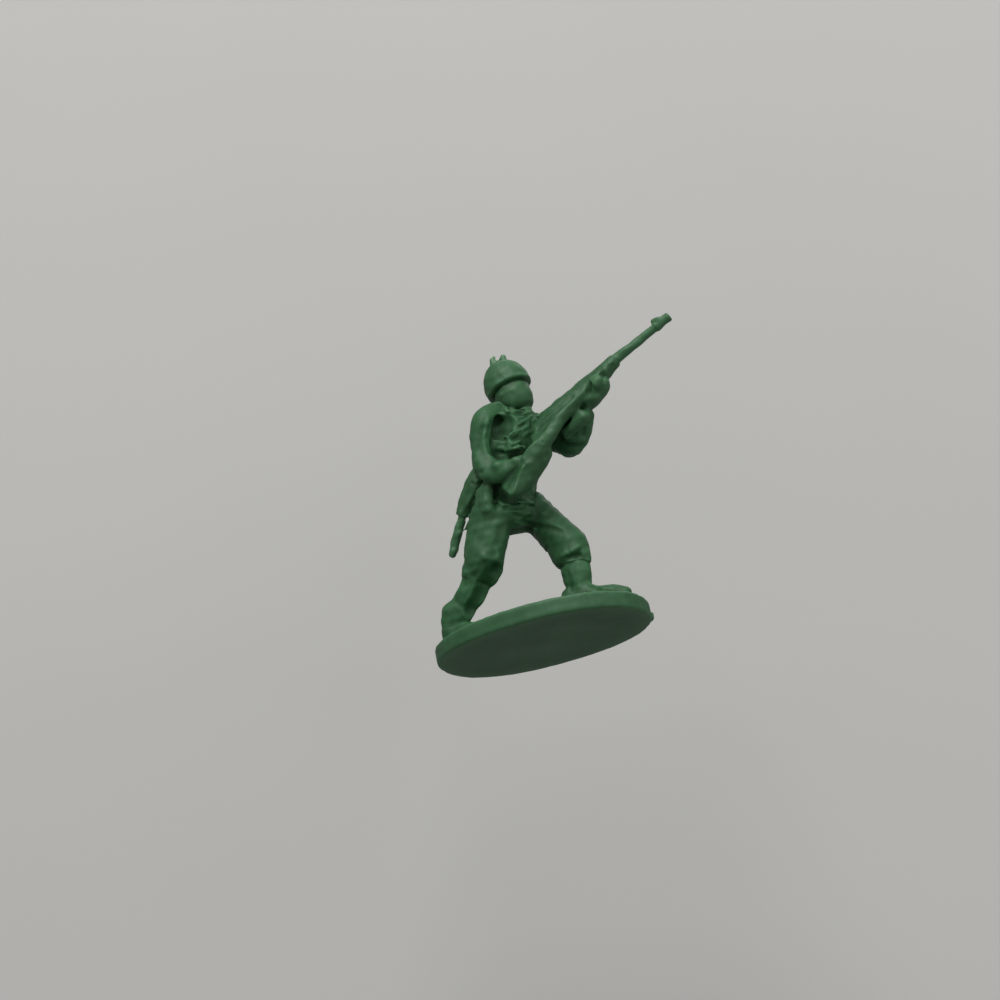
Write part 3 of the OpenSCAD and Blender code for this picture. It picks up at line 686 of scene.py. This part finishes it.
mark("bump behind the rear knee", 0.06, 0.2, 474, 571, 476, 569)
mark("rear thigh, flat side", -0.07, 0.6, 480, 540)
mark("lap, fold", 0.09, 0.15, 514, 511, 528, 514, 545, 513)
mark("lap, crease", -0.09, 0.15, 515, 515, 530, 517.5, 546, 517)
mark("fork, first small fold", 0.14, 0.16, 517, 523, 523, 525)
mark("fork, second small fold", 0.12, 0.16, 530, 528, 535, 530)
mark("fork, third small fold", 0.12, 0.14, 512, 526, 520, 527.5)
mark("fork, crease", -0.16, 0.16, 524, 521, 532, 524, 540, 526)
mark("front thigh, crest", 0.07, 0.3, 545, 523, 556, 526, 564, 533)
mark("front thigh, long crease", -0.12, 0.22, 537, 528, 546, 527.5, 555, 529.5, 562, 532)
mark("front thigh, flat side", -0.08, 0.5, 545, 538, 556, 548)
mark("front knee", 0.05, 0.5, 572, 536)
mark("fold below the front knee", 0.12, 0.18, 572, 551, 576, 549, 579, 547)
mark("crease above the gaiter", -0.24, 0.15, 568, 558, 573, 556.5, 579, 555)
mark("bump behind the front knee", 0.08, 0.2, 562, 556, 566, 553)
mark("front gaiter, top edge", 0.08, 0.16, 570, 561, 574, 560, 578, 563)
mark("front gaiter, edge of the shin", 0.07, 0.3, 578, 566, 578.5, 576, 579, 586)
lump("front shin filled out", 0.5, 583, 556, 583.5, 564, 584, 572, deeper=0.45, fillet=0.5)
mark("front calf", -0.1, 0.2, 567, 572, 570, 582, 571, 590)
mark("under the seat", -0.3, 0.5, 512, 531, 520, 529.5, 528, 529)
mark("crease behind the front knee", -0.08, 0.15, 558, 566, 562, 567)
mark("front boot, toe", 0.08, 0.25, 600, 589, 612, 589)
FRONT_INSTEP = ((5.9, 0.95, 2.65), (7.1, 1, 2.4))
lump_at(0.5, *FRONT_INSTEP, fillet=0.4)
mark("front boot, heel", -0.35, 0.3, 559.5, 589.5, 561.5, 593)
mark("front boot, crease at the ankle", -0.12, 0.14, 590, 585, 594, 588, 600, 590)
mark("rear gaiter, back edge", 0.1, 0.3, 446, 611, 445, 617)
mark("crease above the rear boot", -0.1, 0.2, 456, 601, 461, 606, 467, 608)
mark_on("left hip, fold", "left", 0.12, 0.25, -1.6, 11, -0.4, 10.2, 0.6, 10.4)
mark_on("left hip, crease", "left", -0.12, 0.22, -1.2, 9.9, 0, 9.4, 1, 9.6)
mark_on("left thigh, fold", "left", 0.1, 0.22, 1, 10.9, 2, 9.8, 3.2, 9.2)
mark_on("left knee, crease", "left", -0.12, 0.2, 2, 8.2, 2.8, 7.6, 3.8, 7.4)
mark_on("left shin, fold", "left", 0.1, 0.2, 2.2, 6.6, 3, 6.1, 3.9, 6)
mark_on("seat, fold", "back", 0.12, 0.25, -1.9, 10.9, -0.8, 10.2, 0.4, 10.5)
mark_on("seat, crease", "back", -0.12, 0.22, -1.8, 10, -0.6, 9.4, 0.4, 9.7)
mark_on("right knee's back, crease", "back", -0.14, 0.2, -2.6, 8.1, -1.8, 7.8, -1, 8.1)
mark_on("right knee's back, fold", "back", 0.12, 0.2, -2.6, 7.3, -1.8, 7, -1, 7.2)
mark_on("left knee's back, crease", "back", -0.14, 0.18, 0.2, 7.8, 1, 7.5, 2, 7.7)
mark_on("back of the jacket, fold", "back", 0.1, 0.25, -1.2, 14.6, 0, 14.1, 1.4, 14.5)
mark_on("back of the jacket, crease", "back", -0.1, 0.22, -1.4, 13.6, 0, 13.2, 1.5, 13.6)
mark_on("back of the jacket, middle", "back", -0.1, 0.3, 0, 17.6, 0, 16.4, 0, 15.2)
print("marks so far:", len(marks))

# %% [markdown]
# ## Base
# The rim is a little uneven, because the figure was twisted off its runner, and
# the flat underside keeps the shallow sinks of thick plastic that cooled last.
# Both are marks at points of the frame. A noise could do it too, but marks keep
# the underside flat wherever there is none of them.

# %% Base
HALF_LENGTH, HALF_WIDTH = 8.8, 6.85
RIM_TOP, RIM_FOOT = 1.1, 0.3
SWELL = 0.035
TOP_WIDTH, FOOT_WIDTH = 0.5, 0.4
ONWARD = 0.15
SINK_WIDTH = 1.6
SINKS = ((-3, 1.5, 0.05), (2.5, -1, 0.06), (0, 2.5, 0.04), (5, 1.5, 0.04))


def rim_point(angle, height):
    """A point of the base's rim, at an angle round it in radians."""
    return HALF_LENGTH * math.cos(angle), HALF_WIDTH * math.sin(angle), height


# A swell at every 20 degrees or so, and its opposite lower down and a little on.
for turn in range(0, 360, 20):
    place = math.radians(turn + 5 * math.sin(2.3 * turn))
    swell = SWELL * math.sin(5.1 * turn + 1)
    mark_at(swell, TOP_WIDTH, rim_point(place, RIM_TOP))
    mark_at(-swell, FOOT_WIDTH, rim_point(place + ONWARD, RIM_FOOT))
for x, y, depth in SINKS:
    mark_at(-depth, SINK_WIDTH, (x, y, 0))
mark("nib on the rim", 0.06, 0.2, 601, 602)
print("marks so far:", len(marks))

# %% [markdown]
# ## The plastic
# One material runs through the whole figure, a satin polyethylene with a little
# depth. Under a lens it isn't one green: the melt leaves paler and darker
# drifts. Crests are painted paler, partly for wear from rubbing and partly as a
# painted highlight for the light they let through. Valleys and hollows are painted
# darker as painted shade, and hollows hold dust that makes them rougher. The
# surface has an orange-peel from the mould's steel, coarser on cloth and finer on
# the rifle. So each finish is this plastic with its own grain, and a small class
# lets the maths be written as plain expressions.

# %% Shader helpers
class Value:
    """A number that varies over the surface: a socket with Python's operators."""

    def __init__(self, tree, socket):
        self.tree, self.socket = tree, socket

    def maths(self, operation, first, second):
        return self.tree.node("ShaderNodeMath", {"operation": operation},
                              {0: first, 1: second})[0]

    def __add__(self, other):
        return self.maths("ADD", self, other)

    def __sub__(self, other):
        return self.maths("SUBTRACT", self, other)

    def __rsub__(self, other):
        return self.maths("SUBTRACT", other, self)

    def __mul__(self, other):
        return self.maths("MULTIPLY", self, other)

    __radd__, __rmul__ = __add__, __mul__


class Finish:
    """A material under construction."""

    def __init__(self, name):
        self.material = bpy.data.materials.new(name)
        self.material.use_nodes = True
        self.material.node_tree.nodes.clear()

    def node(self, kind, settings=None, sockets=None):
        """A node with its settings, then its sockets' values or links; gives its outputs."""
        made = self.material.node_tree.nodes.new(kind)
        for key, value in (settings or {}).items():
            setattr(made, key, value)
        for key, value in (sockets or {}).items():
            if isinstance(value, Value):
                self.material.node_tree.links.new(value.socket, made.inputs[key])
            else:
                made.inputs[key].default_value = value
        return [Value(self, socket) for socket in made.outputs]

    def noise(self, place, scale, detail, roughness):
        """Cloudy noise from 0 to 1."""
        return self.node("ShaderNodeTexNoise", {}, {
            "Vector": place, "Scale": scale, "Detail": detail, "Roughness": roughness})[0]

    def mix(self, first, second, share):
        """Two colours, with a share of the second."""
        made = self.node("ShaderNodeMix", {"data_type": "RGBA"}, {0: share, 6: first, 7: second})
        return made[2]

    def range(self, value, low, high, to_low, to_high):
        """What runs from low to high made to run from to_low to to_high, and no further."""
        return self.node("ShaderNodeMapRange", {}, {0: value, 1: low, 2: high, 3: to_low,
                                                    4: to_high})[0]


def rgb(red, green, blue):
    """A colour as it is seen, 0 to 255, turned into the shader's linear light."""
    return tuple(((c / 255 + 0.055) / 1.055) ** 2.4 for c in (red, green, blue)) + (1,)


# %% [markdown]
# ## Green plastic
# The same recipe serves each slot. What differs is the green itself, how rough
# it is, and the size and depth of its grain. Noise scales are in lumps per metre,
# and distances inside the plastic are in metres. One recipe keeps the pieces
# alike, as they are on a toy that was moulded in one shot.

# %% Green plastic
DRIFT_SCALE, MOTTLE_SCALE = 260, 1500
# Each colour's share of the green's red, green and blue, and what is added to it.
# DARK serves random darker drifts and painted shade in valleys, DEEP is painted shade in
# hollows, and PALE serves random paler mottle and the painted highlight on crests.
DARK = ((0.58, 0.72, 0.62), (0, 0, 0))
DEEP = ((0.3, 0.5, 0.36), (0, 0, 0))
PALE = ((1.25, 1.18, 1.22), (6, 4, 6))
# Two values of a noise or a tone, then how much of the colour they bring.
DRIFTS = (0.35, 0.7, 0, 0.4)
MOTTLES = (0.45, 0.75, 0, 0.45)
# VALLEYS and HOLLOWS paint shade into the colour where the skin is concave, and CRESTS paints a
# highlight on crests that also stands for wear from rubbing. DUST adds only roughness.
VALLEYS = (0.45, 0.1, 0, 0.6)
HOLLOWS = (0.46, 0.12, 0, 0.8)
CRESTS = (0.6, 1.0, 0, 0.6)
DUST = (0.4, 0.1, 0, 0.3)


def toned(green, tone):
    """A green made darker or paler."""
    return rgb(*(c * share + more for c, share, more in zip(green, *tone)))


def plastic(name, green, rough=0.5, grain=0.35, peel=1600, depth=0.2, clear=0.12):
    """Satin polyethylene: drifting colour, crests painted paler as a highlight and for wear,
    painted shade in valleys, rougher hollows, mould grain.
    """
    finish = Finish(name)
    place = finish.node("ShaderNodeTexCoord")[3]
    crest = finish.node("ShaderNodeAttribute", {"attribute_name": "crest"})[2]
    hollow = finish.node("ShaderNodeAttribute", {"attribute_name": "hollow"})[2]
    drift = finish.noise(place, DRIFT_SCALE, detail=4, roughness=0.6)
    mottle = finish.noise(place, MOTTLE_SCALE, detail=5, roughness=0.65)
    pits = finish.noise(place, peel, detail=3, roughness=0.6)
    swells = finish.noise(place, peel * 0.35, detail=4, roughness=0.6)
    dark, deep, pale = toned(green, DARK), toned(green, DEEP), toned(green, PALE)
    drifted = finish.mix(rgb(*green), dark, finish.range(drift, *DRIFTS))
    drifted = finish.mix(drifted, pale, finish.range(mottle, *MOTTLES))
    # Painted shade: darker in valleys and darker still in hollows.
    shaded = finish.mix(drifted, dark, finish.range(crest, *VALLEYS))
    shaded = finish.mix(shaded, deep, finish.range(hollow, *HOLLOWS))
    # Painted highlight on crests, which also stands for wear from rubbing.
    highlit_and_rubbed = finish.mix(shaded, pale, finish.range(crest, *CRESTS))
    height = swells * grain + pits * (grain * 0.6)
    bump = finish.node("ShaderNodeBump", {}, {"Strength": depth, "Distance": 0.0001,
                                              "Height": height})[0]
    shader = finish.node("ShaderNodeBsdfPrincipled", {"subsurface_method": "RANDOM_WALK"}, {
        "Base Color": highlit_and_rubbed,
        "Roughness": finish.range(mottle + 0.5 * drift, 0.4, 1.1, rough - 0.08, rough + 0.12)
        + finish.range(hollow, *DUST),
        "Normal": bump, "IOR": 1.51, "Specular IOR Level": 0.36,
        "Subsurface Weight": clear, "Subsurface Scale": 0.0004,
        "Subsurface Radius": (0.5, 1.0, 0.5)})[0]
    finish.node("ShaderNodeOutputMaterial", {}, {0: shader})
    return finish.material


GREEN = (50, 98, 60)
cloth = plastic("cloth_moulded_green", GREEN, rough=0.54, peel=1500)
base_green = plastic("base_moulded_green", (54, 98, 63), rough=0.55, peel=900, depth=0.08)
boot_green = plastic("boot_moulded_green", (50, 94, 58), rough=0.5, peel=1800)
kit_green = plastic("kit_moulded_green", (52, 96, 60), rough=0.5, peel=2200, depth=0.3)
skin_green = plastic("skin_moulded_green", (54, 98, 62), rough=0.5, peel=1600, depth=0.15)
helmet_green = plastic("helmet_moulded_green", (54, 99, 63), rough=0.5, peel=1400)
rifle_green = plastic("rifle_moulded_green", (50, 93, 58), rough=0.46, peel=1800)
flash_green = plastic("flash_thin_green", (66, 110, 74), rough=0.4, peel=2400, clear=0.4)
print("finishes:", len(bpy.data.materials))

# %% [markdown]
# ## Casting the pieces
# Each piece stands for the CAD node of its name, which stays for collision. The
# neck and the head are cast as one, because no line shows between them. The
# table lists each piece's slot and its finish; the casting uses only the finish.

# %% Casting
FINISHES = {
    "base": ("base_plastic", base_green),
    "boot_right": ("boots_plastic", boot_green), "boot_left": ("boots_plastic", boot_green),
    "gaiter_right": ("boots_plastic", cloth), "gaiter_left": ("boots_plastic", cloth),
    "trousers": ("clothing_plastic", cloth), "jacket": ("clothing_plastic", cloth),
    "sleeve_right": ("clothing_plastic", cloth), "sleeve_left": ("clothing_plastic", cloth),
    "belt": ("kit_plastic", kit_green), "strap_right": ("kit_plastic", kit_green),
    "strap_left": ("kit_plastic", kit_green), "chest_pouches": ("kit_plastic", kit_green),
    "canteen": ("kit_plastic", kit_green), "tool_cover": ("kit_plastic", kit_green),
    "tool_handle": ("kit_plastic", kit_green),
    "head": ("skin_plastic", skin_green), "hand_right": ("skin_plastic", skin_green),
    "hand_left": ("skin_plastic", skin_green),
    "helmet": ("helmet_plastic", helmet_green),
    "moulding_flash": ("helmet_plastic", flash_green),
    "rifle_stock": ("rifle_plastic", rifle_green),
    "rifle_handguard": ("rifle_plastic", rifle_green),
    "rifle_barrel": ("rifle_plastic", rifle_green),
    "rifle_gas_cylinder": ("rifle_plastic", rifle_green),
    "front_sight": ("rifle_plastic", rifle_green),
}
for name, (slot, finish) in FINISHES.items():
    cast("moulded_" + name, ["neck", "head"] if name == "head" else [name], finish)

# %% [markdown]
# ## Stage
# For its portrait the figure stands on a floor, in front of a pale sheet. The
# camera looks up from under the base, so a plain floor would hide the figure.
# Each sheet shows only its front face: the floor is clear from below, and other
# views look past the backdrop when its back is towards them. Their sizes and
# places are in metres.

# %% Stage
SHEET_HALF = 0.6
FLOOR_DROP = 0.00005
BACKDROP_GAP = 0.03
CLOUD_SCALE = 18
CLOUD_DEPTH = 7


def sheet_finish(name, colour):
    """A pale matte sheet that is clear from behind."""
    finish = Finish(name)
    place = finish.node("ShaderNodeTexCoord")[3]
    cloudy = finish.noise(place, CLOUD_SCALE, detail=3, roughness=0.5)
    shade = finish.mix(rgb(*colour), rgb(*(c - CLOUD_DEPTH for c in colour)), cloudy)
    matte = finish.node("ShaderNodeBsdfPrincipled", {}, {
        "Base Color": shade, "Roughness": 0.9})[0]
    clear = finish.node("ShaderNodeBsdfTransparent")[0]
    back = finish.node("ShaderNodeNewGeometry")[6]
    both = finish.node("ShaderNodeMixShader", {}, {0: back, 1: matte, 2: clear})[0]
    finish.node("ShaderNodeOutputMaterial", {}, {0: both})
    return finish.material


def sheet(name, centre, side, other, finish):
    """A flat sheet whose front faces along side x other."""
    mesh = bpy.data.meshes.new(name)
    side = Vector(side).normalized() * SHEET_HALF
    other = Vector(other).normalized() * SHEET_HALF
    centre = Vector(centre)
    mesh.from_pydata([centre - side - other, centre + side - other, centre + side + other,
                      centre - side + other], [], [(0, 1, 2, 3)])
    mesh.materials.append(finish)
    piece = bpy.data.objects.new(name, mesh)
    bpy.context.scene.collection.objects.link(piece)
    return piece


pale = sheet_finish("pale_sheet", (226, 225, 222))
floor = sheet("floor", (0, 0, -FLOOR_DROP), (1, 0, 0), (0, 1, 0), pale)
floor.visible_shadow = floor.visible_diffuse = floor.visible_glossy = False
backdrop = sheet("backdrop", BACKDROP_GAP * toward, right, top, pale)
backdrop.visible_diffuse = backdrop.visible_glossy = False
print("stage ready")

# %% [markdown]
# ## Light
# The light is soft daylight from above and a little to the left, thrown back
# from all sides. A large key light does the first, a fill on the other side and
# a back light open the shadows, and a plain pale world does the rest. An image
# of a room could light the figure too, but its highlights couldn't be moved one
# by one, and no picture is read here.

# %% Light
# Each light's place to the right, above and in front of the figure, as the
# camera sees it, its size, all in metres, and its power in watts.
LIGHTS = {
    "key": ((-0.12, 0.5, 0.2), 0.4, 2.75),
    "fill": ((0.4, 0.3, 0.4), 0.6, 0.8),
    "back": ((0.15, 0.35, -0.45), 0.5, 0.9),
}
HEART = Vector((0.002, 0, 0.013))
ROOM_COLOUR = (228, 228, 226)
ROOM_STRENGTH = 0.33


def softbox(name, place, size, power):
    """A square soft light that faces the heart of the figure."""
    light = bpy.data.lights.new(name, "AREA")
    light.size, light.energy = size, power
    lamp = bpy.data.objects.new(name, light)
    bpy.context.scene.collection.objects.link(lamp)
    lamp.location = place
    lamp.rotation_euler = (place - HEART).to_track_quat("Z", "Y").to_euler()


for name, ((x, y, z), size, power) in LIGHTS.items():
    softbox(name, x * right + y * top - z * toward + HEART, size, power)

world = bpy.data.worlds.new("studio")
bpy.context.scene.world = world
world.use_nodes = True
world.node_tree.nodes["Background"].inputs[0].default_value = rgb(*ROOM_COLOUR)
world.node_tree.nodes["Background"].inputs[1].default_value = ROOM_STRENGTH
bpy.context.scene.view_settings.view_transform = "Standard"
print("lights:", ", ".join(LIGHTS))
